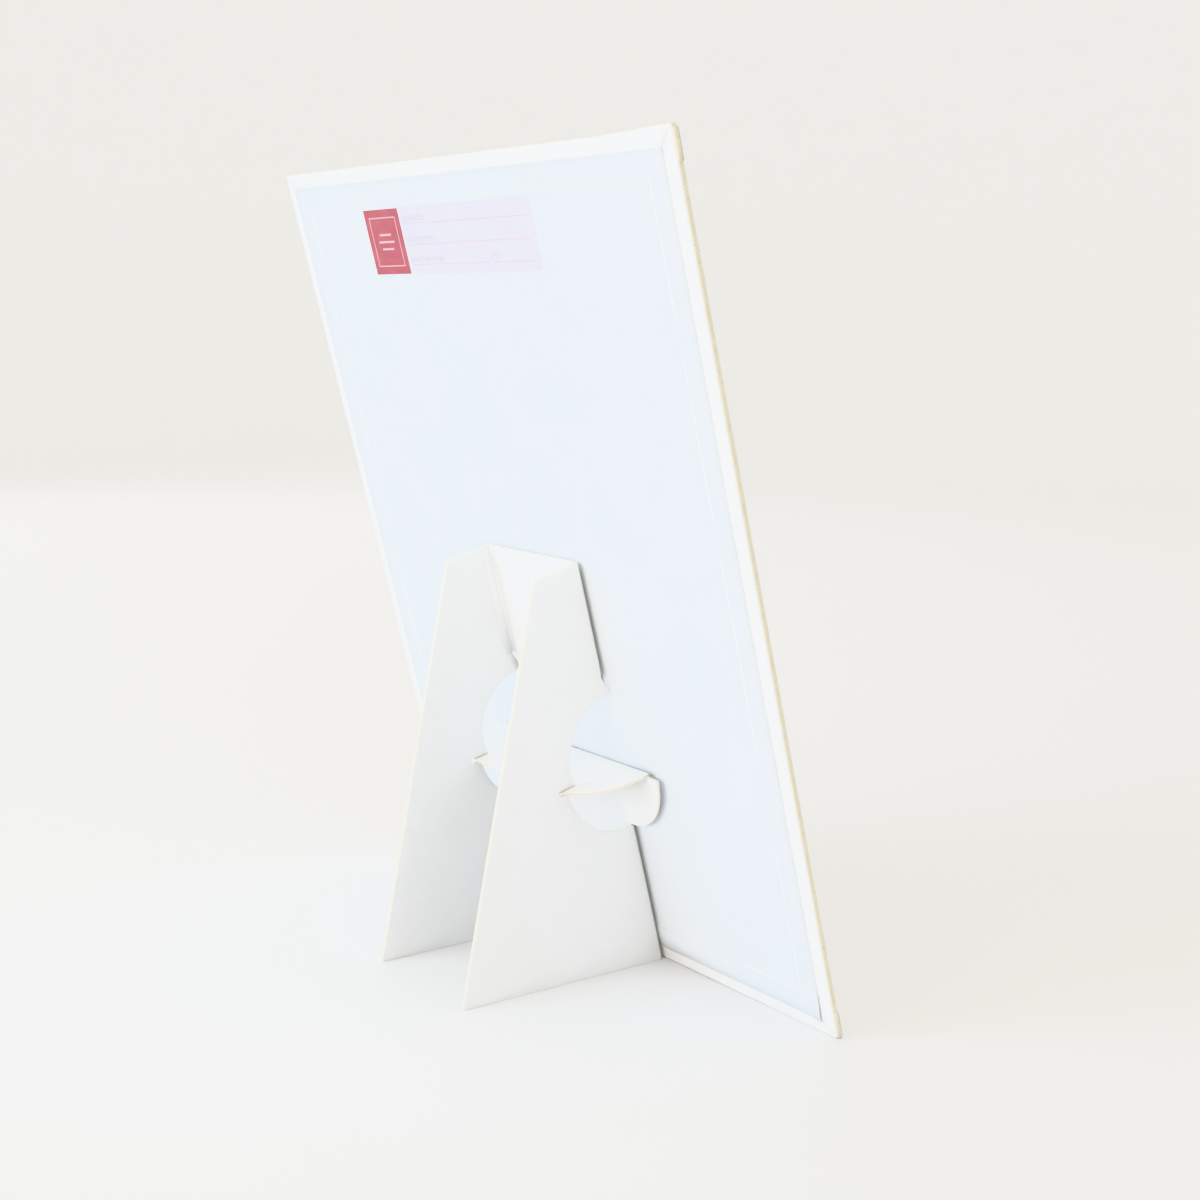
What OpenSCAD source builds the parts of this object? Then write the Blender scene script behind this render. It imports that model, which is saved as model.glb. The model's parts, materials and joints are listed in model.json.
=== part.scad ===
// Stretched-canvas picture panel that stands on a double-wing cardboard easel back.
// The panel is drawn upright in its own frame: X across, Y out of its back, Z up the panel.
// lean_back() then tips it back until it rests on its lower edge and on the feet of the wings.

/* [Picture panel] */
// Width of the picture panel
panel_w = 203.2; // [195:0.1:300]
// Height of the picture panel
panel_h = 254; // [200:0.1:350]
// Thickness of the board inside the panel
core_t = 1.8; // [1.4:0.1:4]
// Thickness of the primed canvas
canvas_t = 0.45; // [0.3:0.05:0.8]
// Outer radius of the canvas where it folds round an edge
edge_r = 1; // [0.8:0.1:1.1]
// Width of the canvas turned in over the back
turn_in = 12; // [8:0.5:13]
// Slit between two turn-ins where they meet at a corner
mitre_gap = 0.3; // [0.1:0.1:1]
// Thickness of the paper glued over the back
paper_t = 0.2; // [0.1:0.05:0.4]
// Distance from the panel's edge to the edge of the backing paper
paper_inset = 4.5; // [2:0.5:7]

/* [Title label] */
// Width of the title label
label_w = 91.8; // [60:0.1:110]
// Height of the title label
label_h = 20.4; // [12:0.1:30]
// Thickness of the title label
label_t = 0.12; // [0.08:0.01:0.3]
// Distance from the panel's top edge down to the label
label_drop = 13.2; // [13:0.1:30]
// Distance of the label's middle from the panel's middle
label_shift = 10.2; // [-20:0.1:20]

/* [Stance] */
// Angle that the panel leans back from upright
lean = 15; // [10:0.5:22]

/* [Easel back] */
// Thickness of the easel's card
card_t = 1; // [0.6:0.1:1.5]
// Distance between the two wing creases
crease_span = 47; // [38:0.5:56]
// Height of the easel along the panel
easel_h = 134.3; // [110:0.1:170]
// Width of a wing at its top edge
wing_top_w = 15.6; // [10:0.1:30]
// Width of a wing at its foot
wing_foot_w = 71.5; // [55:0.5:76]
// Height of the lock tab's crease along the panel
tab_crease_h = 68.4; // [60:0.1:80]
// Running gap on each side of a crease
crease_gap = 0.15; // [0.1:0.05:0.3]
// Thickness of the paper face that bends at each crease
liner_t = 0.12; // [0.08:0.01:0.2]
// Width of the bent paper face on each side of a crease
liner_w = 3; // [2:0.5:5]
// Depth of the uncreased nib on a wing, above its window
nib_d = 1.2; // [0.8:0.1:1.2]
// Height of the uncreased nib on a wing
nib_h = 6; // [4:0.5:10]

/* [Lock] */
// Distance from the tab's crease to its front edge
tab_d = 22.9; // [20:0.1:26]
// Radius of the rounded ends of the lock tab
tab_r = 19.4; // [17:0.1:20]
// Distance of the tab's round ends past the wing creases, from crease to arc centre
tab_in = 4; // [3.5:0.1:6]
// Radius of the ears that stay flat below the lock tab
ear_r = 20; // [17:0.1:22]
// Gap left by the cut between a wing and an ear
cut_gap = 0.3; // [0.2:0.1:0.6]
// Radius of the upper half of a wing's window
window_r = 17.6; // [17.4:0.1:19]
// Height of straight side between the tab's crease and the window's upper arc
window_rise = 5; // [4.5:0.1:8]
// Depth of the lock notch in a wing, from the wing crease
notch_d = 23.2; // [23.2:0.1:26]
// Length of the pointed end of the lock notch
notch_point = 0.9; // [0.5:0.1:2]
// Depth at which the lock slits in the tab start, from the tab's crease
slit_d = 17; // [14:0.1:17]
// Clearance on each side of the card in a notch or a slit
lock_gap = 0.3; // [0.2:0.1:0.5]

/* [Tape] */
// Width of each foam tape pad
tape_w = 38; // [20:1:44]
// Height of the upper foam tape pad
upper_tape_h = 34; // [15:1:38]
// Height of the lower foam tape pad
lower_tape_h = 40; // [20:1:46]
// Height of the easel's card above the backing paper at the turn-ins
tape_lift = 0.4; // [0.3:0.1:1]

/* [Hidden] */

$fn = 96;
hair = 0.01; // overlap that keeps a cut from leaving a skin

// layers of the panel along Y, from the backing paper's outer face at the turn-ins
back_canvas = -paper_t;                       // outer face of the turn-ins
back_core = back_canvas - canvas_t;           // back of the board
front_core = back_core - core_t;              // front of the board
front_canvas = front_core - canvas_t;         // picture side
back_sunk = -canvas_t;                        // paper inside the turn-ins

// the easel's card, glued flat on the back
card_in = tape_lift;                          // face towards the panel
card_out = card_in + card_t;                  // outer face, on which all creases turn
crease_x = crease_span / 2;
window_top = tab_crease_h + window_rise + window_r;
opening_top = tab_crease_h + tab_d + cut_gap;
upper_bottom = max(window_top, opening_top);
window_bottom = tab_crease_h - ear_r - cut_gap;
tab_end = tab_r - tab_in;                     // reach of the tab past a wing crease

// where the leaning panel touches its table
floor_lift = edge_r * cos(lean) - (back_canvas - edge_r) * sin(lean) - edge_r;
function foot_h(y) = (floor_lift + y * sin(lean)) / cos(lean);

// depth of the leaning object, front to back
depth_low = (front_canvas + edge_r) * cos(lean) + edge_r * sin(lean) - edge_r;
depth_foot = (card_out + wing_foot_w) / cos(lean) + floor_lift * tan(lean);
depth_top = (back_canvas - edge_r) * cos(lean) + (panel_h - edge_r) * sin(lean) + edge_r;
depth_mid = (depth_low + max(depth_foot, depth_top)) / 2;

// ---- placing ----

module lean_back() {
    translate([0, -depth_mid, -floor_lift]) rotate([-lean, 0, 0]) children();
}

// a flat outline drawn in X and Z, raised from y_low to y_high
module plate(y_low, y_high) {
    translate([0, y_high, 0]) rotate([90, 0, 0]) linear_extrude(y_high - y_low) children();
}

// both sides of the panel's middle line
module both_sides() {
    for (side = [0, 1]) mirror([side, 0, 0]) children();
}

// ---- picture panel ----

module round_rect(w, h, r) {
    translate([r, 0]) square([w - 2 * r, h]);
    translate([0, r]) square([w, h - 2 * r]);
    for (x = [r, w - r], y = [r, h - r]) translate([x, y]) circle(r);
}

// a sheet whose four edges are rounded, standing on Z = margin
module edge_rounded_sheet(margin, y_low, y_high, r) {
    w = panel_w - 2 * margin;
    h = panel_h - 2 * margin;
    t = y_high - y_low;
    intersection() {
        translate([-w / 2, y_low, margin]) linear_extrude(h) round_rect(w, t, r);
        translate([-w / 2, y_low, margin]) rotate([90, 0, 90]) linear_extrude(w)
            round_rect(t, h, r);
    }
}

module inset_area(inset) {
    translate([-panel_w / 2 + inset, inset]) square([panel_w - 2 * inset, panel_h - 2 * inset]);
}

module mitre_slits() {
    for (x = [-1, 1], z = [0, 1])
        translate([x * panel_w / 2, 0, z * panel_h])
            rotate([0, z == 0 ? x * 45 : -x * 45, 0])
                translate([-mitre_gap / 2, back_core, z == 0 ? edge_r : -2 * turn_in])
                    cube([mitre_gap, canvas_t + hair, 2 * turn_in - edge_r]);
}

module core_board() {
    color("BurlyWood") lean_back()
        edge_rounded_sheet(canvas_t, front_core, back_core, edge_r - canvas_t);
}

module canvas() {
    color("Ivory") lean_back() difference() {
        edge_rounded_sheet(0, front_canvas, back_canvas, edge_r);
        edge_rounded_sheet(canvas_t, front_core, back_core, edge_r - canvas_t);
        plate(back_core - hair, hair) inset_area(turn_in);
        mitre_slits();
    }
}

// the paper lies on the turn-ins round its rim and steps down onto the board inside them
module backing_paper() {
    color("AliceBlue") lean_back() difference() {
        plate(back_core, 0) inset_area(paper_inset);
        plate(back_core - hair, back_canvas) difference() {
            inset_area(paper_inset - 1);
            inset_area(turn_in);
        }
        plate(back_sunk, hair) inset_area(turn_in + paper_t);
    }
}

module title_label() {
    color("Lavender") lean_back() plate(back_sunk, back_sunk + label_t)
        translate([label_shift - label_w / 2, panel_h - label_drop - label_h])
            square([label_w, label_h]);
}

// ---- foam tape between the panel and the easel ----

module tape_pad(z_mid, h) {
    color("WhiteSmoke") lean_back() plate(back_sunk, card_in)
        translate([-tape_w / 2, z_mid - h / 2]) square([tape_w, h]);
}

module upper_tape() {
    tape_pad((upper_bottom + easel_h) / 2, upper_tape_h);
}

module lower_tape() {
    tape_pad((turn_in + tab_crease_h) / 2, lower_tape_h);
}

// ---- easel card glued to the panel ----

module panel_strip(z_low, z_high) {
    half = crease_x - crease_gap;
    translate([-half, z_low]) square([2 * half, z_high - z_low]);
}

module upper_panel() {
    color("White") lean_back() plate(card_in, card_out) difference() {
        panel_strip(upper_bottom, easel_h);
        for (x = [-crease_x, crease_x]) translate([x, upper_bottom + nib_h / 2])
            square([2 * (nib_d + cut_gap), nib_h + 2 * cut_gap], center = true);
    }
}

module lower_panel() {
    top = tab_crease_h - crease_gap;
    color("White") lean_back() plate(card_in, card_out) difference() {
        union() {
            panel_strip(foot_h(card_out), top);
            translate([-crease_x - ear_r - hair, window_bottom])
                square([2 * (crease_x + ear_r + hair), top - window_bottom]);
        }
        for (side = [-1, 1]) outside_ear(side);
    }
}

// what is cut away round an ear
module outside_ear(side) {
    translate([side * crease_x, tab_crease_h]) difference() {
        translate([side * (2 * ear_r - crease_gap), -ear_r])
            square([4 * ear_r, 4 * ear_r], center = true);
        circle(ear_r);
    }
}

// ---- lock tab, drawn in X and depth ----

module tab_outline() {
    reach = crease_x + tab_end;
    difference() {
        translate([-reach, crease_gap]) square([2 * reach, tab_d - crease_gap]);
        for (side = [-1, 1]) tab_corner(side);
        for (side = [-1, 1]) translate([side * (crease_x + card_t / 2), slit_d + tab_d / 2])
            square([card_t + 2 * lock_gap, tab_d], center = true);
    }
}

// what is cut away outside a rounded end of the tab
module tab_corner(side) {
    translate([side * (crease_x - tab_in), tab_d - tab_r]) difference() {
        translate([side * tab_r, 0]) square(2 * tab_r, center = true);
        circle(tab_r);
    }
}

module lock_tab() {
    color("FloralWhite") lean_back() translate([0, card_out, tab_crease_h])
        linear_extrude(card_t) tab_outline();
}

// ---- wings, drawn in depth from the crease and height ----

module wing_blank() {
    polygon([
        [crease_gap, foot_h(card_out + crease_gap)],
        [wing_foot_w, foot_h(card_out + wing_foot_w)],
        [wing_top_w, easel_h],
        [crease_gap, easel_h],
        [crease_gap, upper_bottom + nib_h],
        [-nib_d, upper_bottom + nib_h / 3],
        [-nib_d, upper_bottom],
        [crease_gap, upper_bottom],
    ]);
}

// upper half clears the lock tab, lower half clears the ear
module wing_window() {
    translate([0, tab_crease_h + window_rise]) circle(window_r);
    translate([-window_r, tab_crease_h - hair]) square([2 * window_r, window_rise + hair]);
    intersection() {
        translate([0, tab_crease_h]) circle(ear_r + cut_gap);
        translate([-2 * ear_r, tab_crease_h - 2 * ear_r]) square([4 * ear_r, 2 * ear_r]);
    }
}

module wing_notch() {
    half = card_t / 2 + lock_gap;
    translate([0, tab_crease_h + card_t / 2]) {
        translate([0, -half]) square([notch_d, 2 * half]);
        polygon([[notch_d, -half], [notch_d + notch_point, 0], [notch_d, half]]);
    }
}

module wing() {
    color("WhiteSmoke") lean_back() translate([crease_x, card_out, 0])
        rotate([90, 0, 90]) linear_extrude(card_t) difference() {
            wing_blank();
            wing_window();
            wing_notch();
        }
}

module wing_left() {
    mirror([1, 0, 0]) wing();
}

module wing_right() {
    wing();
}

// ---- paper faces that bend at the creases ----

// an angle of thin paper in its corner: one leg along the card, one leg along the folded piece
module bent_liner() {
    square([liner_w, liner_t]);
    square([liner_t, liner_w]);
}

module wing_liner() {
    spans = [
        [foot_h(card_out + liner_w), window_bottom],
        [upper_bottom + nib_h + cut_gap, easel_h],
    ];
    color("White") lean_back()
        for (span = spans) translate([crease_x, card_out, span[0]])
            linear_extrude(span[1] - span[0]) mirror([1, 0]) bent_liner();
}

module crease_left() {
    mirror([1, 0, 0]) wing_liner();
}

module crease_right() {
    wing_liner();
}

module crease_tab() {
    half = crease_x + tab_end;
    color("White") lean_back()
        translate([half, card_out, tab_crease_h]) rotate([0, -90, 0])
            linear_extrude(2 * half) mirror([1, 0]) bent_liner();
}

core_board();
canvas();
backing_paper();
title_label();
upper_tape();
lower_tape();
upper_panel();
lower_panel();
wing_left();
wing_right();
lock_tab();
crease_left();
crease_right();
crease_tab();
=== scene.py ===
import json
import math
import random

import bmesh
import bpy
from mathutils import Matrix, Vector, noise


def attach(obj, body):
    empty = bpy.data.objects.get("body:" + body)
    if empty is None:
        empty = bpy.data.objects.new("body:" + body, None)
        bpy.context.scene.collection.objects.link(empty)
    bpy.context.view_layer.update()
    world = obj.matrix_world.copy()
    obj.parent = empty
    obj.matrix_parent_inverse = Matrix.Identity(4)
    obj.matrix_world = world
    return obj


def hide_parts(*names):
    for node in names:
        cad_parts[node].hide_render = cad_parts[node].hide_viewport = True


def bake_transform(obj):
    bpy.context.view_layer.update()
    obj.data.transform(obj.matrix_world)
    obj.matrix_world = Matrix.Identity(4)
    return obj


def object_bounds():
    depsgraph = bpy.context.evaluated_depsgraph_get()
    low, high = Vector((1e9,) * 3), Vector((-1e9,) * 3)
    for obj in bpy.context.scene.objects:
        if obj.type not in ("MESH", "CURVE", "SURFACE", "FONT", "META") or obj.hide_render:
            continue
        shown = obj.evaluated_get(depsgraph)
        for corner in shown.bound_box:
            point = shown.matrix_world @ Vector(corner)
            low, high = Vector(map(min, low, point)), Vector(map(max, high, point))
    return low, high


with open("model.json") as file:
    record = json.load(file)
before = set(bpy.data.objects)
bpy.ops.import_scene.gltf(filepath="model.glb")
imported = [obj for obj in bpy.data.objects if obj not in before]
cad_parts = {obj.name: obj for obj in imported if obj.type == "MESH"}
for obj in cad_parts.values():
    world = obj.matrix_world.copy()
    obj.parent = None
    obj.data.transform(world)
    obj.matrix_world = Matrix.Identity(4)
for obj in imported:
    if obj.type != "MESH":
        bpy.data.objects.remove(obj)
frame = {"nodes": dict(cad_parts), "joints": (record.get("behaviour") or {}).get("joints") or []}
cadBox = [list(corner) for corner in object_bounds()]
joints = {joint["name"]: joint for joint in frame["joints"]}
mm = 0.001

# The picture panel leans back. Pieces are modelled with it upright, then leaned back.
upThePanel = Vector(joints["left_wing_fold"]["axis"]).normalized()
lean = math.atan2(upThePanel.y, upThePanel.z)
standUp = Matrix.Rotation(lean, 4, "X")
leanBack = standUp.inverted()


# Lowest and highest corner of a CAD node while the panel stands upright
def uprightBox(node):
    points = [standUp @ v.co for v in frame["nodes"][node].data.vertices]
    low = Vector([min(p[i] for p in points) for i in range(3)])
    high = Vector([max(p[i] for p in points) for i in range(3)])
    return low, high


def uprightHinge(name):
    return standUp @ Vector(joints[name]["pos_m"])


# Screen colour, 0 to 255, as the linear colour that a shader wants
def paint(red, green, blue):
    return tuple((c / 255 / 12.92) if c < 10 else ((c / 255 + 0.055) / 1.055) ** 2.4
                 for c in (red, green, blue))


def newMaterial(name, color, roughness, specular=0.3):
    material = bpy.data.materials.new(name)
    material.use_nodes = True
    shader = material.node_tree.nodes["Principled BSDF"]
    shader.inputs["Base Color"].default_value = (*color, 1)
    shader.inputs["Roughness"].default_value = roughness
    shader.inputs["Specular IOR Level"].default_value = specular
    return material, shader


def addNode(material, kind, inputs, **settings):
    made = material.node_tree.nodes.new(kind)
    for key, value in settings.items():
        setattr(made, key, value)
    for key, value in inputs.items():
        if isinstance(value, bpy.types.NodeSocket):
            material.node_tree.links.new(value, made.inputs[key])
        else:
            made.inputs[key].default_value = value
    return made


def mathNode(material, operation, first, second=0.0):
    return addNode(material, "ShaderNodeMath", {0: first, 1: second}, operation=operation).outputs[0]


# A colour that goes from first to second; each is a socket or a linear colour
def mixColors(material, factor, first, second):
    colors = [c if isinstance(c, bpy.types.NodeSocket) else (*c, 1) for c in (first, second)]
    made = addNode(material, "ShaderNodeMix", {0: factor, 6: colors[0], 7: colors[1]}, data_type="RGBA")
    return made.outputs[2]


# Maps low to high onto outLow to outHigh and clamps
def spread(material, value, low, high, outLow=0.0, outHigh=1.0):
    inputs = {"Value": value, "From Min": low, "From Max": high, "To Min": outLow, "To Max": outHigh}
    return addNode(material, "ShaderNodeMapRange", inputs).outputs["Result"]


# Noise whose blotches are about size metres across
def noiseAt(material, vector, size, detail=3.0, roughness=0.55):
    inputs = {"Vector": vector, "Scale": 1 / size, "Detail": detail, "Roughness": roughness}
    return addNode(material, "ShaderNodeTexNoise", inputs).outputs["Fac"]


# Object coordinates turned so that Z runs up the panel
def uprightCoords(material):
    coords = addNode(material, "ShaderNodeTexCoord", {}).outputs["Object"]
    return addNode(material, "ShaderNodeMapping", {"Vector": coords, "Rotation": (lean, 0, 0)}).outputs[0]


def stretched(material, vector, scale):
    return addNode(material, "ShaderNodeMapping", {"Vector": vector, "Scale": scale}).outputs[0]


def addBump(material, shader, height, distance, strength=1.0, under=None):
    inputs = {"Height": height, "Distance": distance, "Strength": strength}
    if under is not None:
        inputs["Normal"] = under
    normal = addNode(material, "ShaderNodeBump", inputs).outputs[0]
    material.node_tree.links.new(normal, shader.inputs["Normal"])
    return normal


def setColor(material, shader, socket):
    material.node_tree.links.new(socket, shader.inputs["Base Color"])


def setRoughness(material, shader, socket):
    material.node_tree.links.new(socket, shader.inputs["Roughness"])


clothLook = {
    "threadPitch": 0.52 * mm, "primer": paint(248, 248, 248), "thread": paint(224, 216, 186),
    "roughness": 0.78, "bump": 0.06 * mm,
}
paperLook = {
    "color": paint(243, 247, 251), "shade": paint(241, 246, 251), "speck": paint(170, 172, 186),
    "roughness": 0.55, "fibre": 0.35 * mm, "blotch": 24 * mm, "fibreBump": 0.012 * mm,
}
cardLook = {
    "color": paint(246, 246, 246), "shade": paint(244, 244, 243), "speck": paint(190, 186, 176),
    "roughness": 0.62, "fibre": 0.45 * mm, "blotch": 16 * mm, "fibreBump": 0.018 * mm,
}
cutLook = {
    "color": paint(248, 244, 229), "shade": paint(233, 222, 188), "roughness": 0.85, "layer": 0.22 * mm,
    "streak": 1.6 * mm, "bump": 0.08 * mm,
}
boardLook = {
    "color": paint(178, 160, 134), "shade": paint(140, 122, 98), "roughness": 0.9, "fleck": 1.4 * mm,
    "bump": 0.1 * mm,
}
foamLook = {
    "color": paint(240, 240, 236), "shade": paint(222, 222, 214), "cell": 0.3 * mm, "bump": 0.08 * mm,
}
labelLook = {
    "color": paint(236, 234, 243), "shade": paint(230, 227, 238), "speck": paint(230, 227, 238),
    "roughness": 0.38, "fibre": 0.3 * mm, "blotch": 12 * mm, "fibreBump": 0.008 * mm,
}
inkLook = {
    "red": paint(168, 84, 94), "rule": paint(196, 180, 190), "caption": paint(142, 140, 152),
    "pale": paint(226, 186, 190), "grain": 0.16 * mm, "cloud": 5 * mm, "bump": 0.01 * mm,
}
sheetLook = {"speckSize": 1.1 * mm, "mottleBump": 0.03 * mm}  # the same on every paper and card


# Plain weave under a coat of primer; the primer is thinner where the cloth turns an edge
def makeClothMaterial(look):
    material, shader = newMaterial("primedCanvas", look["primer"], look["roughness"], 0.2)
    uv = addNode(material, "ShaderNodeUVMap", {}, uv_map="UVMap").outputs[0]
    drift = noiseAt(material, uv, 6 * look["threadPitch"], 2)
    # A band repeats every pi / (10 * scale), which is two threads here
    wave = {"Scale": math.pi / (10 * look["threadPitch"]) / 2, "Distortion": 1.2, "Detail": 2.0,
            "Detail Scale": 0.6, "Vector": uv}
    warp = addNode(material, "ShaderNodeTexWave", wave, bands_direction="X").outputs["Fac"]
    weft = addNode(material, "ShaderNodeTexWave", wave, bands_direction="Y").outputs["Fac"]
    over = mathNode(material, "MULTIPLY", warp, weft)
    under = mathNode(material, "MULTIPLY", mathNode(material, "SUBTRACT", 1.0, warp),
                     mathNode(material, "SUBTRACT", 1.0, weft))
    weave = mathNode(material, "ADD", over, under)
    slub = mathNode(material, "MULTIPLY", spread(material, drift, 0.35, 0.7, 0.6, 1.25), weave)
    edge = addNode(material, "ShaderNodeAttribute", {}, attribute_name="turned").outputs["Fac"]
    bare = mathNode(material, "MULTIPLY", edge, spread(material, slub, 0.2, 0.75, 0.95, 0.45))
    thin = spread(material, slub, 0.15, 0.45, 0.10, 0.0)
    soiled = spread(material, noiseAt(material, uv, 30 * mm, 4), 0.45, 0.8, 0.0, 0.04)
    amount = mathNode(material, "MAXIMUM", mathNode(material, "MAXIMUM", bare, thin), soiled)
    setColor(material, shader, mixColors(material, amount, look["primer"], look["thread"]))
    addBump(material, shader, slub, look["bump"])
    return material


# Smooth white paper or card: fibres, faint mottling and a few specks
def makeSheetMaterial(name, look):
    material, shader = newMaterial(name, look["color"], look["roughness"])
    place = uprightCoords(material)
    mottle = spread(material, noiseAt(material, place, look["blotch"], 4), 0.38, 0.68)
    fibres = noiseAt(material, stretched(material, place, (1, 1, 0.35)), look["fibre"], 5, 0.7)
    speckled = spread(material, noiseAt(material, place, sheetLook["speckSize"], 1), 0.80, 0.83, 0, 0.5)
    tone = mixColors(material, mottle, look["color"], look["shade"])
    tone = mixColors(material, spread(material, fibres, 0.45, 0.75, 0, 0.35), tone, look["shade"])
    setColor(material, shader, mixColors(material, speckled, tone, look["speck"]))
    rougher = spread(material, fibres, 0.3, 0.7, look["roughness"], look["roughness"] + 0.2)
    setRoughness(material, shader, rougher)
    fibreNormal = addBump(material, shader, fibres, look["fibreBump"])
    addBump(material, shader, mottle, sheetLook["mottleBump"], 0.5, fibreNormal)
    return material


# The cut edge of laminated card: cream layers with loose fibres
def makeCutMaterial(look):
    material, shader = newMaterial("cutCard", look["color"], look["roughness"], 0.15)
    place = uprightCoords(material)
    fluff = noiseAt(material, place, look["layer"], 5, 0.75)
    streaks = noiseAt(material, stretched(material, place, (9, 9, 0.6)), look["streak"], 3)
    tone = mixColors(material, spread(material, streaks, 0.4, 0.68), look["color"], look["shade"])
    tone = mixColors(material, spread(material, fluff, 0.5, 0.8, 0, 0.6), tone, look["shade"])
    setColor(material, shader, tone)
    addBump(material, shader, fluff, look["bump"])
    return material


# Pressed grey-brown board with darker flecks
def makeBoardMaterial(look):
    material, shader = newMaterial("pressedBoard", look["color"], look["roughness"], 0.15)
    place = uprightCoords(material)
    flecks = noiseAt(material, place, look["fleck"], 6, 0.7)
    tone = mixColors(material, spread(material, flecks, 0.4, 0.7), look["color"], look["shade"])
    setColor(material, shader, tone)
    addBump(material, shader, flecks, look["bump"])
    return material


# White foam tape with open cells at its cut sides
def makeFoamMaterial(look):
    material, shader = newMaterial("foamTape", look["color"], 0.8, 0.2)
    place = uprightCoords(material)
    cells = addNode(material, "ShaderNodeTexVoronoi", {"Vector": place, "Scale": 1 / look["cell"]}).outputs[0]
    tone = mixColors(material, spread(material, cells, 0.1, 0.6), look["shade"], look["color"])
    setColor(material, shader, tone)
    addBump(material, shader, cells, look["bump"])
    return material


# Flat print: the ink breaks up a little where the paper shows through
def makeInkMaterial(name, color, cover):
    material, shader = newMaterial(name, color, 0.42, 0.35)
    place = uprightCoords(material)
    grain = noiseAt(material, place, inkLook["grain"], 4, 0.7)
    cloudy = noiseAt(material, place, inkLook["cloud"], 2)
    worn = spread(material, grain, 0.52, 0.80, 0, 1 - cover)
    lighter = tuple(min(1, c * 1.25 + 0.03) for c in color)
    tone = mixColors(material, spread(material, cloudy, 0.35, 0.7, 0, 0.4), color, lighter)
    setColor(material, shader, mixColors(material, worn, tone, labelLook["color"]))
    addBump(material, shader, grain, inkLook["bump"])
    return material


canvasCloth = makeClothMaterial(clothLook)
backPaper = makeSheetMaterial("backPaper", paperLook)
cardFace = makeSheetMaterial("cardFace", cardLook)
labelPaper = makeSheetMaterial("labelPaper", labelLook)
cutCard = makeCutMaterial(cutLook)
pressedBoard = makeBoardMaterial(boardLook)
foamTape = makeFoamMaterial(foamLook)
redInk = makeInkMaterial("redInk", inkLook["red"], 0.80)
paleInk = makeInkMaterial("paleInk", inkLook["pale"], 0.7)
ruleInk = makeInkMaterial("ruleInk", inkLook["rule"], 0.7)
captionInk = makeInkMaterial("captionInk", inkLook["caption"], 0.6)
print("materials made")


def boxMesh(low, high):
    bm = bmesh.new()
    bmesh.ops.create_cube(bm, size=1)
    bmesh.ops.scale(bm, vec=high - low, verts=bm.verts)
    bmesh.ops.translate(bm, vec=(low + high) / 2, verts=bm.verts)
    return bm


def bevelEdges(bm, edges, offset, segments):
    bmesh.ops.bevel(bm, geom=list(edges), offset=offset, affect="EDGES", segments=segments,
                    profile=0.5, material=-1)


# Knife cuts square to one axis, about spacing apart
def cutAcross(bm, axis, start, end, spacing):
    normal = Vector([1 if i == axis else 0 for i in range(3)])
    count = max(1, round((end - start) / spacing))
    for step in range(1, count):
        cutAt(bm, normal * (start + (end - start) * step / count), normal)


def cutAt(bm, point, normal):
    geometry = bm.verts[:] + bm.edges[:] + bm.faces[:]
    bmesh.ops.bisect_plane(bm, geom=geometry, plane_co=point, plane_no=normal, dist=1e-7)


# UVs in metres: each face takes the two upright axes that it faces away from
def unfoldUV(bm):
    layer = bm.loops.layers.uv.new("UVMap")
    for face in bm.faces:
        axis = max(range(3), key=lambda i: abs(face.normal[i]))
        for loop in face.loops:
            x, y, z = loop.vert.co
            loop[layer].uv = ((y, z), (x, z), (x, y))[axis]


def finishPiece(bm, name, materials, body, node=None, smooth=35):
    mesh = bpy.data.meshes.new(name)
    bm.to_mesh(mesh)
    bm.free()
    mesh.transform(leanBack)
    for material in materials:
        mesh.materials.append(material)
    mesh.shade_smooth()
    mesh.set_sharp_from_angle(angle=math.radians(smooth))
    piece = bpy.data.objects.new(name, mesh)
    bpy.context.scene.collection.objects.link(piece)
    if body:
        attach(piece, body)
    if node:
        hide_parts(node)
    return piece


def thicken(piece, thickness, offset=-1):
    solid = piece.modifiers.new("Thickness", "SOLIDIFY")
    solid.thickness = thickness
    solid.offset = offset
    solid.use_even_offset = True


# A CAD node that stays as it is, in a material of its own
def coatNode(node, material):
    slots = frame["nodes"][node].data.materials
    slots.clear()
    slots.append(material)


def ease(value, low, high):
    t = min(1, max(0, (value - low) / (high - low)))
    return t * t * (3 - 2 * t)


boardLow, boardHigh = uprightBox("canvas")
coreHigh = uprightBox("core_board")[1]
paperLow, paperHigh = uprightBox("backing_paper")
canvas = {
    "edgeRadius": 1.0 * mm, "turnIn": 12 * mm, "cloth": 0.4 * mm, "mitre": 0.09 * mm,
    "grid": 6 * mm, "waver": 0.07 * mm, "waverScale": 90, "foldLength": 8.5 * mm,
    "foldLift": 0.35 * mm, "foldTurned": 0.9, "cornerLump": 0.9 * mm, "lumpReach": 32 * mm,
    "lumpDepth": 2 * mm,
}


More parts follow.
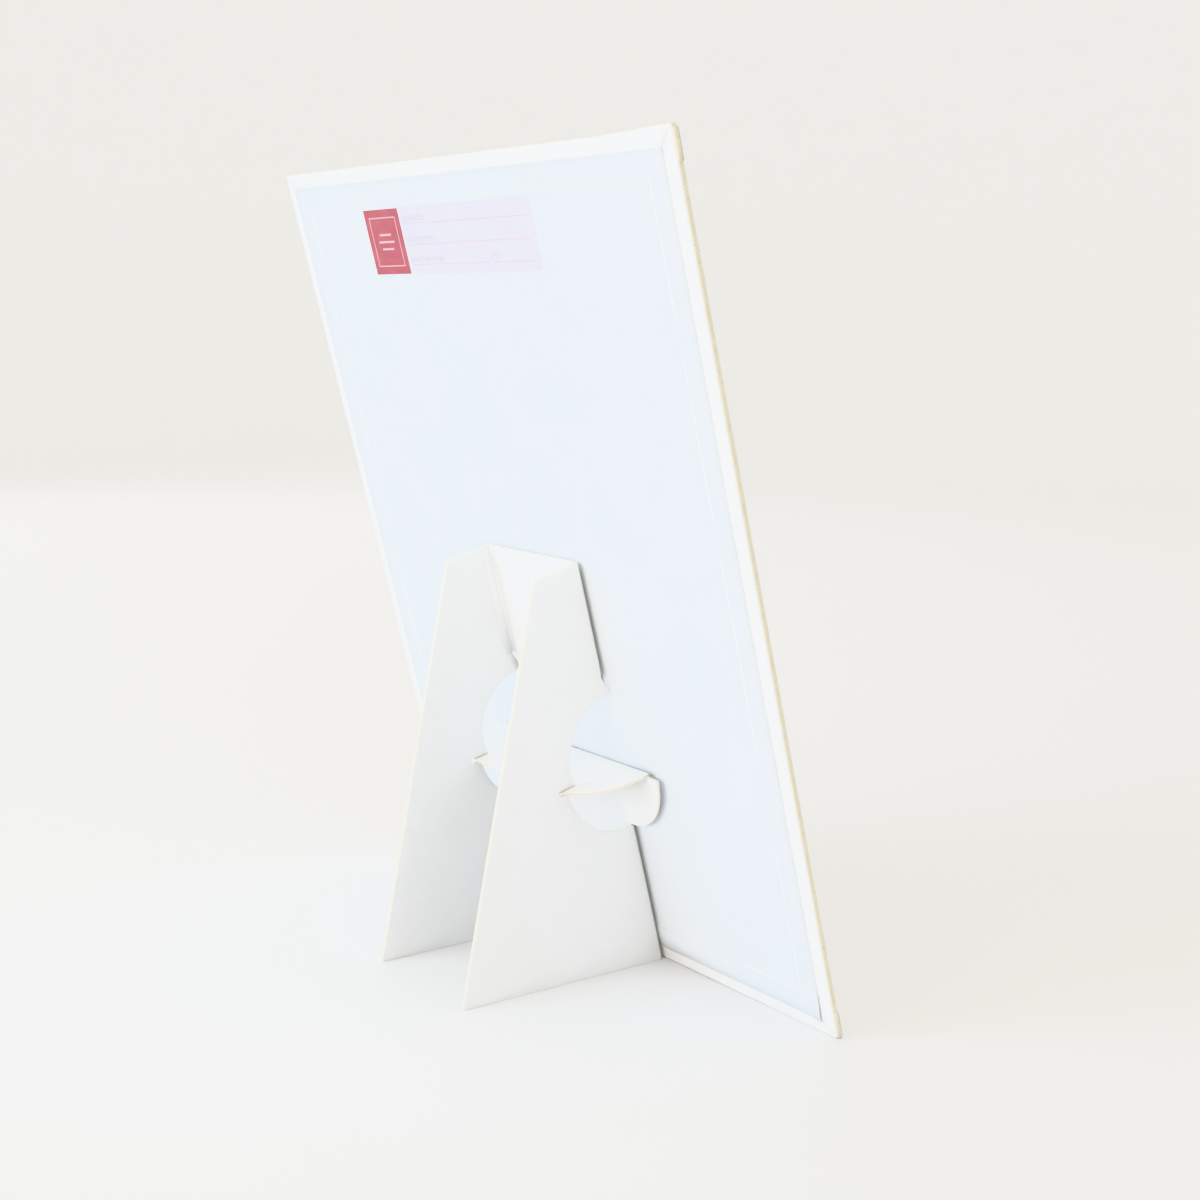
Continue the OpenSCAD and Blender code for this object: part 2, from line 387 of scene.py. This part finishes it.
def makeCanvas():
    bm = boxMesh(boardLow, boardHigh)
    bevelEdges(bm, bm.edges, canvas["edgeRadius"], 5)
    cutAcross(bm, 0, boardLow.x, boardHigh.x, canvas["grid"])
    cutAcross(bm, 2, boardLow.z, boardHigh.z, canvas["grid"])
    left, right = boardLow.x + canvas["turnIn"], boardHigh.x - canvas["turnIn"]
    bottom, top = boardLow.z + canvas["turnIn"], boardHigh.z - canvas["turnIn"]
    for x in (left, right):
        cutAt(bm, Vector((x, 0, 0)), Vector((1, 0, 0)))
    for z in (bottom, top):
        cutAt(bm, Vector((0, 0, z)), Vector((0, 0, 1)))

    def onBack(face):
        return face.normal.y > 0.9

    inside = [f for f in bm.faces if onBack(f) and left < f.calc_center_median().x < right
              and bottom < f.calc_center_median().z < top]
    bmesh.ops.delete(bm, geom=inside, context="FACES")
    for xSide in (-1, 1):
        for zSide in (-1, 1):
            slitMitre(bm, xSide, zSide)
    bm.normal_update()
    unfoldUV(bm)
    markTurned(bm)
    for v in bm.verts:
        v.co += v.normal * canvas["waver"] * noise.noise(v.co * canvas["waverScale"])
        onTop = ease(v.co.z, boardHigh.z - canvas["lumpDepth"], boardHigh.z)
        v.co.z += canvas["cornerLump"] * onTop * (1 - ease(v.co.x - boardLow.x, 0, canvas["lumpReach"]))
    piece = finishPiece(bm, "canvasCover", [canvasCloth], "picture_panel", "canvas", 50)
    thicken(piece, canvas["cloth"])
    return piece


# Cuts the turn-in from its inner corner to the panel's corner, where two folds meet
def slitMitre(bm, xSide, zSide):
    corner = Vector((boardLow.x if xSide < 0 else boardHigh.x, 0, boardLow.z if zSide < 0 else boardHigh.z))
    across = Vector((xSide, 0, -zSide)).normalized()
    reach = canvas["turnIn"] + canvas["edgeRadius"]

    def near(face):
        spot = face.calc_center_median() - corner
        return face.normal.y > 0.5 and abs(spot.x) < reach and abs(spot.z) < reach

    for shift in (-canvas["mitre"] / 2, canvas["mitre"] / 2):
        faces = [f for f in bm.faces if near(f)]
        geometry = set(faces)
        for f in faces:
            geometry.update(f.edges, f.verts)
        bmesh.ops.bisect_plane(bm, geom=list(geometry), plane_co=corner + across * shift,
                               plane_no=across, dist=1e-7)
    bm.normal_update()
    slit = [f for f in bm.faces if near(f) and f.normal.y > 0.95
            and abs((f.calc_center_median() - corner).dot(across)) < canvas["mitre"] / 2]
    bmesh.ops.delete(bm, geom=slit, context="FACES")


# 1 where the cloth runs across the panel's thickness, 0 on its front and back
def markTurned(bm):
    layer = bm.verts.layers.float.new("turned")
    for v in bm.verts:
        v[layer] = ease(1 - abs(v.normal.y), 0.3, 0.9)


# The folded end of the cloth that laps each corner of the panel's long edges
def makeCornerFolds():
    bm = bmesh.new()
    depth = boardHigh.y - boardLow.y - canvas["edgeRadius"]
    middle = (boardLow.y + boardHigh.y) / 2
    for xSide, xEdge in ((-1, boardLow.x), (1, boardHigh.x)):
        for zSide, zEdge in ((-1, boardLow.z), (1, boardHigh.z)):
            made = bmesh.ops.create_circle(bm, cap_ends=True, radius=depth / 2, segments=32)["verts"]
            bmesh.ops.rotate(bm, verts=made, matrix=Matrix.Rotation(math.radians(90), 3, "Y"))
            for v in made:
                if v.co.z * zSide <= 0:
                    v.co.z -= zSide * (canvas["foldLength"] - depth)
            end = Vector((xEdge + xSide * canvas["foldLift"] / 2, middle, zEdge - zSide * depth / 2))
            bmesh.ops.translate(bm, verts=made, vec=end)
            if xSide < 0:
                bmesh.ops.reverse_faces(bm, faces=list({f for v in made for f in v.link_faces}))
    unfoldUV(bm)
    layer = bm.verts.layers.float.new("turned")
    for v in bm.verts:
        v[layer] = canvas["foldTurned"]
    piece = finishPiece(bm, "cornerFolds", [canvasCloth], "picture_panel", None)
    thicken(piece, canvas["foldLift"], 0)


canvasCover = makeCanvas()
makeCornerFolds()
coatNode("core_board", pressedBoard)
print("canvas and board made")


backing = {
    "sheet": 0.12 * mm, "proud": 1.2, "grid": 4 * mm, "stepWidth": 4.5 * mm, "waver": 0.04 * mm,
    "waverScale": 60, "liftedCorner": 0.85 * mm, "otherCorners": 0.06 * mm, "liftReach": 12 * mm,
    "liftWidth": 5 * mm, "creaseAt": -58 * mm, "creaseHeight": 0.12 * mm, "creaseWidth": 0.9 * mm,
    "creaseSlant": 0.12, "creaseFades": 10 * mm, "creaseFull": 4 * mm,
}


# Height of the paper over the board, stepping up onto the turned-in canvas
def backingDepth(x, z):
    stepAt = canvas["turnIn"]
    inset = min(x - boardLow.x, boardHigh.x - x, z - boardLow.z, boardHigh.z - z)
    onTurnIn = 1 - ease(inset, stepAt - backing["stepWidth"] / 2, stepAt + backing["stepWidth"] / 2)
    onBoard = backing["sheet"] * backing["proud"]
    climb = (paperHigh.y - coreHigh.y - onBoard) * onTurnIn
    return coreHigh.y + onBoard + climb


def cornerLift(x, z):
    lift = 0
    for xEdge in (paperLow.x, paperHigh.x):
        for zEdge in (paperLow.z, paperHigh.z):
            lifted = xEdge == paperLow.x and zEdge == paperLow.z
            sideways = 1 - ease(abs(x - xEdge), 0, backing["liftWidth"])
            along = 1 - ease(abs(z - zEdge), 0, backing["liftReach"])
            lift += (backing["liftedCorner"] if lifted else backing["otherCorners"]) * sideways * along
    return lift


def makeBackingPaper():
    bm = bmesh.new()
    bmesh.ops.create_grid(bm, x_segments=1, y_segments=1, size=0.5)
    bmesh.ops.rotate(bm, verts=bm.verts, matrix=Matrix.Rotation(math.radians(-90), 3, "X"))
    size = paperHigh - paperLow
    bmesh.ops.scale(bm, vec=(size.x, 1, size.z), verts=bm.verts)
    bmesh.ops.translate(bm, vec=((paperLow + paperHigh) / 2), verts=bm.verts)
    cutAcross(bm, 0, paperLow.x, paperHigh.x, backing["grid"])
    cutAcross(bm, 2, paperLow.z, paperHigh.z, backing["grid"])
    half = backing["stepWidth"] / 2
    for inset in [canvas["turnIn"] + half * t for t in (-1, -0.5, 0, 0.5, 1)]:
        for x in (boardLow.x + inset, boardHigh.x - inset):
            cutAt(bm, Vector((x, 0, 0)), Vector((1, 0, 0)))
        for z in (boardLow.z + inset, boardHigh.z - inset):
            cutAt(bm, Vector((0, 0, z)), Vector((0, 0, 1)))
    for v in bm.verts:
        x, z = v.co.x, v.co.z
        aside = x - backing["creaseAt"] - backing["creaseSlant"] * (z - paperHigh.z)
        ridge = math.exp(-(aside / backing["creaseWidth"]) ** 2)
        ridge *= ease(z, paperHigh.z - backing["creaseFades"], paperHigh.z - backing["creaseFull"])
        uneven = backing["waver"] * noise.noise(Vector((x, 0, z)) * backing["waverScale"])
        v.co.y = backingDepth(x, z) + uneven + cornerLift(x, z) + ridge * backing["creaseHeight"]
    bmesh.ops.recalc_face_normals(bm, faces=bm.faces)
    if bm.faces[0].normal.y < 0:
        bmesh.ops.reverse_faces(bm, faces=bm.faces)
    piece = finishPiece(bm, "backingPaper", [backPaper], "picture_panel", "backing_paper")
    thicken(piece, backing["sheet"])


makeBackingPaper()
print("backing paper made")


labelLow, labelHigh = uprightBox("title_label")
label = {
    "corner": 0.5 * mm, "ink": 0.02 * mm, "bleed": 0.15 * mm, "redWidth": 21.2 * mm, "margin": 2.1 * mm,
    "rule": 0.42 * mm, "ruleDrops": (5.2 * mm, 11.5 * mm, 17.7 * mm), "dateWidth": 21.7 * mm,
    "dateGap": 1.7 * mm, "captionHeight": 1.6 * mm, "captionGap": 0.6 * mm, "captionIndent": 0.3 * mm,
    "stroke": 0.2 * mm, "letterGap": 0.3 * mm, "wordGap": 0.9 * mm,
    "letterWidths": (0.5, 0.9),  # narrowest and widest, in mm
    "wordChance": 0.16, "barHeights": (0, 0.45, 0.88), "captions": (13.6 * mm, 17.4 * mm, 19.0 * mm),
    "dateCaption": 5.8 * mm, "dateIndent": 0.5 * mm, "keyInset": 2.6 * mm, "keyLine": 0.3 * mm,
    "keyBars": ((1, 3.4 * mm), (0, 4.6 * mm), (-1, 3.4 * mm)), "keyPitch": 2.2 * mm,
}


# A patch of ink that stands a hair proud of the label; print over print takes two layers
def inkBox(bm, xLow, xHigh, zLow, zHigh, materialIndex, layers=1):
    made = bmesh.ops.create_cube(bm, size=1)["verts"]
    bmesh.ops.scale(bm, verts=made, vec=(xHigh - xLow, 2 * layers * label["ink"], zHigh - zLow))
    bmesh.ops.translate(bm, verts=made, vec=((xLow + xHigh) / 2, labelHigh.y, (zLow + zHigh) / 2))
    for f in {f for v in made for f in v.link_faces}:
        f.material_index = materialIndex


# A line of small blocks the size of caption letters, with a gap between words
def inkCaption(bm, xStart, width, zLow):
    rng = random.Random(round(width * 1e6))
    x, end = xStart, xStart - width
    while x > end + min(label["letterWidths"]) * mm:
        wide = rng.uniform(*label["letterWidths"]) * mm
        bar = zLow + label["captionHeight"] * rng.choice(label["barHeights"])
        inkBox(bm, x - label["stroke"], x, zLow, zLow + label["captionHeight"], 2)
        inkBox(bm, x - wide, x - label["stroke"], bar, bar + label["stroke"], 2)
        x -= wide + (label["wordGap"] if rng.random() < label["wordChance"] else label["letterGap"])


def makeLabel():
    bm = boxMesh(labelLow, labelHigh)
    upright = [e for e in bm.edges if abs(e.verts[0].co.y - e.verts[1].co.y) > 0.05 * mm]
    bevelEdges(bm, upright, label["corner"], 4)
    bmesh.ops.recalc_face_normals(bm, faces=bm.faces)
    finishPiece(bm, "titleLabel", [labelPaper], "picture_panel", "title_label")


def makeLabelPrint():
    bm = bmesh.new()
    redEdge = labelHigh.x - label["redWidth"]
    bleed = label["bleed"]
    inkBox(bm, redEdge, labelHigh.x - bleed, labelLow.z + bleed, labelHigh.z - bleed, 0)
    start, end = redEdge - label["margin"], labelLow.x + label["margin"]
    for row, drop in enumerate(label["ruleDrops"]):
        z = labelHigh.z - drop
        ruleEnd = end + label["dateWidth"] + label["dateGap"] if row == 2 else end
        captionFoot = z + label["rule"] + label["captionGap"]
        inkBox(bm, ruleEnd, start, z, z + label["rule"], 1)
        inkCaption(bm, start + label["captionIndent"], label["captions"][row], captionFoot)
    # The last row ends in a shorter rule for the date
    dateStart = end + label["dateWidth"]
    inkBox(bm, end, dateStart, z, z + label["rule"], 1)
    inkCaption(bm, dateStart + label["dateIndent"], label["dateCaption"], captionFoot)
    makeKeyLines(bm, redEdge, labelHigh.x - bleed)
    bmesh.ops.recalc_face_normals(bm, faces=bm.faces)
    inks = [redInk, ruleInk, captionInk, paleInk]
    finishPiece(bm, "labelPrint", inks, "picture_panel", None)


# A plain frame and three short bars on the red block
def makeKeyLines(bm, xLow, xHigh):
    inset, line = label["keyInset"], label["keyLine"]
    low = Vector((xLow + inset, 0, labelLow.z + inset))
    high = Vector((xHigh - inset, 0, labelHigh.z - inset))
    for z in (low.z, high.z - line):
        inkBox(bm, low.x, high.x, z, z + line, 3, 2)
    for x in (low.x, high.x - line):
        inkBox(bm, x, x + line, low.z + line, high.z - line, 3, 2)
    middle = (low + high) / 2
    for row, half in label["keyBars"]:
        z = middle.z + row * label["keyPitch"]
        inkBox(bm, middle.x - half, middle.x + half, z - line, z + line, 3, 2)


makeLabel()
makeLabelPrint()
print("label made")


wingHinge = uprightHinge("right_wing_fold")
tabHinge = uprightHinge("lock_tab_fold")
easel = {
    "softEdge": 0.17 * mm, "grid": 6 * mm, "arcCuts": 4, "windowRise": 5 * mm, "windowRadius": 17.6 * mm,
    "earRadius": 20 * mm, "cutGap": 0.3 * mm, "tabRadius": 19.4 * mm, "tabIn": 4 * mm, "tabDepth": 22.9 * mm,
    "wingBow": 0.35 * mm, "bowShare": -0.6, "bowHeights": (8 * mm, 30 * mm), "bowDepths": (0.4, 0.7),
    "tabBow": 0.22 * mm, "nickDepth": 0.28 * mm, "nickWidth": 0.8 * mm, "earLift": math.radians(4),
    "nicks": {"wing_left": (0.31,), "wing_right": (0.11, 0.36, 0.73)},
}


# One flat side of a card node as a single face, with axis pointing out of it
def cardSide(node, axis):
    bm = bmesh.new()
    bm.from_mesh(frame["nodes"][node].data)
    bm.transform(standUp)
    bmesh.ops.remove_doubles(bm, verts=bm.verts, dist=1e-6)
    bm.normal_update()
    others = [f for f in bm.faces if f.normal.dot(axis) < 0.99]
    bmesh.ops.delete(bm, geom=others, context="FACES")
    bmesh.ops.dissolve_limit(bm, angle_limit=0.002, verts=bm.verts, edges=bm.edges)
    return bm


# Adds points along the short chords of an arc and puts them back on its circle
def roundArc(bm, center, radius, flat):
    def offset(point):
        away = point - center
        away[flat] = 0
        return away

    def onArc(edge):
        middle = (edge.verts[0].co + edge.verts[1].co) / 2
        ends = all(abs(offset(v.co).length - radius) < 0.03 * mm for v in edge.verts)
        return ends and offset(middle).length > radius * 0.97

    chords = [e for e in bm.edges if onArc(e)]
    if not chords:
        return
    made = bmesh.ops.subdivide_edges(bm, edges=chords, cuts=easel["arcCuts"])["geom_inner"]
    for v in [g for g in made if isinstance(g, bmesh.types.BMVert)]:
        away = offset(v.co)
        v.co += away.normalized() * (radius - away.length)


# A small die-cut nick in a wing's long outer edge
def nickEdge(bm, share):
    outer = max(bm.edges, key=lambda e: e.calc_length())
    top, foot = sorted(outer.verts, key=lambda v: -v.co.z)
    length = outer.calc_length()
    along = (foot.co - top.co).normalized()
    inward = Vector((0, -along.z, along.y))
    if inward.y > 0:
        inward.negate()
    at = top.co + along * length * share
    edge, start = outer, top
    for place, depth in ((-0.5, 0.0), (0.0, 1.0), (0.5, 0.0)):
        target = at + along * easel["nickWidth"] * place
        fraction = (target - start.co).length / edge.calc_length()
        edge, start = bmesh.utils.edge_split(edge, start, fraction)
        start.co = target + inward * easel["nickDepth"] * depth
        edge = next(e for e in start.link_edges if foot in e.verts)


# Gives the flat side its thickness, softens its rim and marks the cut edges
def raiseCard(bm, axis, thickness):
    bmesh.ops.recalc_face_normals(bm, faces=bm.faces)
    made = bmesh.ops.extrude_face_region(bm, geom=bm.faces[:])["geom"]
    moved = [g for g in made if isinstance(g, bmesh.types.BMVert)]
    bmesh.ops.translate(bm, verts=moved, vec=-axis * thickness)
    bmesh.ops.recalc_face_normals(bm, faces=bm.faces)
    for f in bm.faces:
        f.material_index = 0 if abs(f.normal.dot(axis)) > 0.9 else 1
    rim = [e for e in bm.edges if len(e.link_faces) == 2
           and e.link_faces[0].material_index != e.link_faces[1].material_index]
    bevelEdges(bm, rim, easel["softEdge"], 2)
    bm.normal_update()
    for f in bm.faces:
        if 0.2 < abs(f.normal.dot(axis)) < 0.98:
            f.material_index = 0


def makeCard(name, node, body, axis, arcs, bend, nicks=()):
    flat = max(range(3), key=lambda i: abs(axis[i]))
    low, high = uprightBox(node)
    bm = cardSide(node, axis)
    for share in sorted(nicks, reverse=True):
        nickEdge(bm, share)
    for center, radius in arcs:
        roundArc(bm, center, radius, flat)
    for i in [i for i in range(3) if i != flat]:
        cutAcross(bm, i, low[i], high[i], easel["grid"])
    raiseCard(bm, axis, high[flat] - low[flat])
    for v in bm.verts:
        v.co += axis * bend(v.co)
    unfoldUV(bm)
    finishPiece(bm, name, [cardFace, cutCard], body, node, 40)


def makeWing(side, node, body):
    hinge = Vector((side * wingHinge.x, wingHinge.y, 0))
    low, high = uprightBox(node)
    reach = high.y - hinge.y
    arcs = (
        (Vector((0, hinge.y, tabHinge.z + easel["windowRise"])), easel["windowRadius"]),
        (Vector((0, hinge.y, tabHinge.z)), easel["earRadius"] + easel["cutGap"]),
    )

    # The bow fades out near the lock tab, where the two cards cross
    def bow(point):
        out = (point.y - hinge.y) / reach
        up = (point.z - low.z) / (high.z - low.z)
        clear = ease(abs(point.z - tabHinge.z), *easel["bowHeights"]) + ease(out, *easel["bowDepths"])
        return easel["wingBow"] * math.sin(math.pi * up) * out * min(1, clear) * easel["bowShare"]

    name = node.replace("_left", "Left").replace("_right", "Right")
    makeCard(name, node, body, Vector((side, 0, 0)), arcs, bow, easel["nicks"][node])


def makeLockTab():
    high = uprightBox("lock_tab")[1]
    arcs = [(Vector((side * (wingHinge.x - easel["tabIn"]),
                     tabHinge.y + easel["tabDepth"] - easel["tabRadius"], 0)), easel["tabRadius"])
            for side in (-1, 1)]

    def bow(point):
        out = (point.y - tabHinge.y) / (high.y - tabHinge.y)
        across = math.cos(math.pi * point.x / wingHinge.x / 2 * 0.98) if abs(point.x) < wingHinge.x else 0
        return easel["tabBow"] * math.sin(math.pi * min(1, max(0, out))) * across

    makeCard("lockTab", "lock_tab", "lock_tab", Vector((0, 0, 1)), arcs, bow)


def makeGluedCards():
    def noBend(point):
        return 0.0

    def liftEars(point):
        return max(0, abs(point.x) - wingHinge.x) * math.tan(easel["earLift"])

    ears = [(Vector((side * wingHinge.x, 0, tabHinge.z)), easel["earRadius"]) for side in (-1, 1)]
    outward = Vector((0, 1, 0))
    makeCard("upperPanel", "upper_panel", "picture_panel", outward, (), noBend)
    makeCard("lowerPanel", "lower_panel", "picture_panel", outward, ears, liftEars)


makeWing(-1, "wing_left", "left_wing")
makeWing(1, "wing_right", "right_wing")
makeLockTab()
makeGluedCards()
print("easel card made")


crease = {
    "paper": 0.07 * mm, "bend": 0.35 * mm, "leg": 2.6 * mm, "segments": 5,
    "nibTop": 6.4 * mm,  # each wing has an uncreased nib beside the foot of the upper panel
}


# Points of the bent paper face in its corner: along the card, round the bend, up the fold
def creaseProfile():
    points = [Vector((-crease["leg"], 0)), Vector((-crease["bend"], 0))]
    for step in range(1, crease["segments"]):
        angle = math.radians(90 * step / crease["segments"])
        across, up = 1 - math.sin(angle), 1 - math.cos(angle)
        points.append(Vector((-crease["bend"] * across, crease["bend"] * up)))
    points += [Vector((0, crease["bend"])), Vector((0, crease["leg"]))]
    return points


# Strips of bent paper face; place turns a profile point into the upright frame
def makeCrease(name, node, place, along, spans):
    bm = bmesh.new()
    for start, end in spans:
        row = [bm.verts.new(place(p, start)) for p in creaseProfile()]
        edges = [bm.edges.new(pair) for pair in zip(row, row[1:])]
        made = bmesh.ops.extrude_edge_only(bm, edges=edges)["geom"]
        moved = [g for g in made if isinstance(g, bmesh.types.BMVert)]
        bmesh.ops.translate(bm, verts=moved, vec=along * (end - start))
    bmesh.ops.recalc_face_normals(bm, faces=bm.faces)
    piece = finishPiece(bm, name, [cardFace], None, node, 60)
    thicken(piece, crease["paper"], 0)
    bendEnds = (Vector((-crease["bend"], 0)), Vector((0, crease["bend"])))
    start, end = [leanBack @ place(p, spans[0][0]) for p in bendEnds]
    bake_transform(piece)


def makeCreases():
    lift = crease["paper"] / 2
    low, high = uprightBox("crease_left")
    panelFoot = uprightBox("upper_panel")[0].z
    windowBottom = tabHinge.z - easel["earRadius"] - easel["cutGap"]
    spans = ((low.z, windowBottom), (panelFoot + crease["nibTop"], high.z))
    for side, name, child in ((-1, "Left", "left_wing"), (1, "Right", "right_wing")):
        def beside(point, z, side=side):
            return Vector((side * (wingHinge.x + point.x - lift), wingHinge.y + point.y + lift, z))
        makeCrease("crease" + name, "crease_" + name.lower(), beside, Vector((0, 0, 1)), spans)
    half = uprightBox("crease_tab")[1].x

    def below(point, x):
        return Vector((x, tabHinge.y + point.y + lift, tabHinge.z + point.x - lift))

    makeCrease("creaseTab", "crease_tab", below, Vector((1, 0, 0)), ((-half, half),))


makeCreases()
for node in ("upper_tape", "lower_tape"):
    coatNode(node, foamTape)
print("creases and tape made")


studio = {
    "floor": paint(246, 246, 245), "flat": 1.6, "curve": 0.9, "wall": 1.2, "curveSteps": 12, "turnSteps": 96,
    "ambient": 1.02, "ambientColor": (1.0, 0.955, 0.90),
    "lights": {
        "windowLight": {"place": (0.6, 1.45, 0.5), "size": 1.0, "power": 13, "color": (0.66, 0.82, 1.0)},
        "roomLight": {"place": (-0.2, 1.6, 0.3), "size": 1.0, "power": 9, "color": (1.0, 0.95, 0.9)},
        "backdropLight": {"place": (1.3, -0.3, 0.8), "size": 1.2, "power": 2.8, "color": (0.86, 0.9, 1.0)},
    },
    "lightAim": (0, 0, 100 * mm),
}
camera = {
    "lens": 52.34, "azimuth": 233.49, "elevation": 9.12, "roll": 0.68, "distance": 530 * mm,
    "aim": Vector((-15.3 * mm, -15.6 * mm, -7.2 * mm)),
}


# A round floor that curves up into its own backdrop on every side
def makeFloor():
    bm = bmesh.new()
    profile = [Vector((0.0001, 0, 0)), Vector((studio["flat"], 0, 0))]
    for step in range(1, studio["curveSteps"] + 1):
        angle = math.radians(90 * step / studio["curveSteps"])
        profile.append(Vector((studio["flat"] + studio["curve"] * math.sin(angle), 0,
                               studio["curve"] * (1 - math.cos(angle)))))
    profile.append(profile[-1] + Vector((0, 0, studio["wall"])))
    row = [bm.verts.new(p) for p in profile]
    edges = [bm.edges.new(pair) for pair in zip(row, row[1:])]
    bmesh.ops.spin(bm, geom=row + edges, cent=(0, 0, 0), axis=(0, 0, 1), angle=math.tau,
                   steps=studio["turnSteps"], use_merge=True)
    bmesh.ops.remove_doubles(bm, verts=bm.verts, dist=0.001)
    bmesh.ops.recalc_face_normals(bm, faces=bm.faces)
    material, shader = newMaterial("studioFloor", studio["floor"], 0.9, 0.1)
    mesh = bpy.data.meshes.new("floor")
    bm.to_mesh(mesh)
    bm.free()
    mesh.materials.append(material)
    mesh.shade_smooth()
    floor = bpy.data.objects.new("floor", mesh)
    bpy.context.scene.collection.objects.link(floor)


def addLight(name, settings):
    light = bpy.data.lights.new(name, "AREA")
    light.shape = "DISK"
    light.size = settings["size"]
    light.energy = settings["power"]
    light.color = settings["color"]
    lamp = bpy.data.objects.new(name, light)
    place, target = Vector(settings["place"]), Vector(studio["lightAim"])
    lamp.location = place
    lamp.rotation_euler = (target - place).to_track_quat("-Z", "Y").to_euler()
    lamp.visible_camera = False
    bpy.context.scene.collection.objects.link(lamp)


def makeWorld():
    world = bpy.data.worlds.new("studio")
    world.use_nodes = True
    background = world.node_tree.nodes["Background"]
    background.inputs["Color"].default_value = (*studio["ambientColor"], 1)
    background.inputs["Strength"].default_value = studio["ambient"]
    bpy.context.scene.world = world


def makeCamera():
    low, high = (Vector(corner) for corner in cadBox)
    azimuth, elevation = math.radians(camera["azimuth"]), math.radians(camera["elevation"])
    back = Vector((math.sin(azimuth) * math.cos(elevation), -math.cos(azimuth) * math.cos(elevation),
                   math.sin(elevation)))
    data = bpy.data.cameras.new("camera")
    data.lens = camera["lens"]
    data.sensor_width = 36
    data.clip_start, data.clip_end = 0.01, 20
    eye = bpy.data.objects.new("camera", data)
    eye.location = (low + high) / 2 + camera["aim"] + back * camera["distance"]
    roll = Matrix.Rotation(math.radians(camera["roll"]), 3, "Z").to_quaternion()
    eye.rotation_mode = "QUATERNION"
    eye.rotation_quaternion = (-back).to_track_quat("-Z", "Y") @ roll
    bpy.context.scene.collection.objects.link(eye)
    bpy.context.scene.camera = eye


makeFloor()
makeWorld()
makeCamera()
for name, settings in studio["lights"].items():
    addLight(name, settings)
bpy.context.scene.view_settings.view_transform = "Khronos PBR Neutral"
print("studio made")
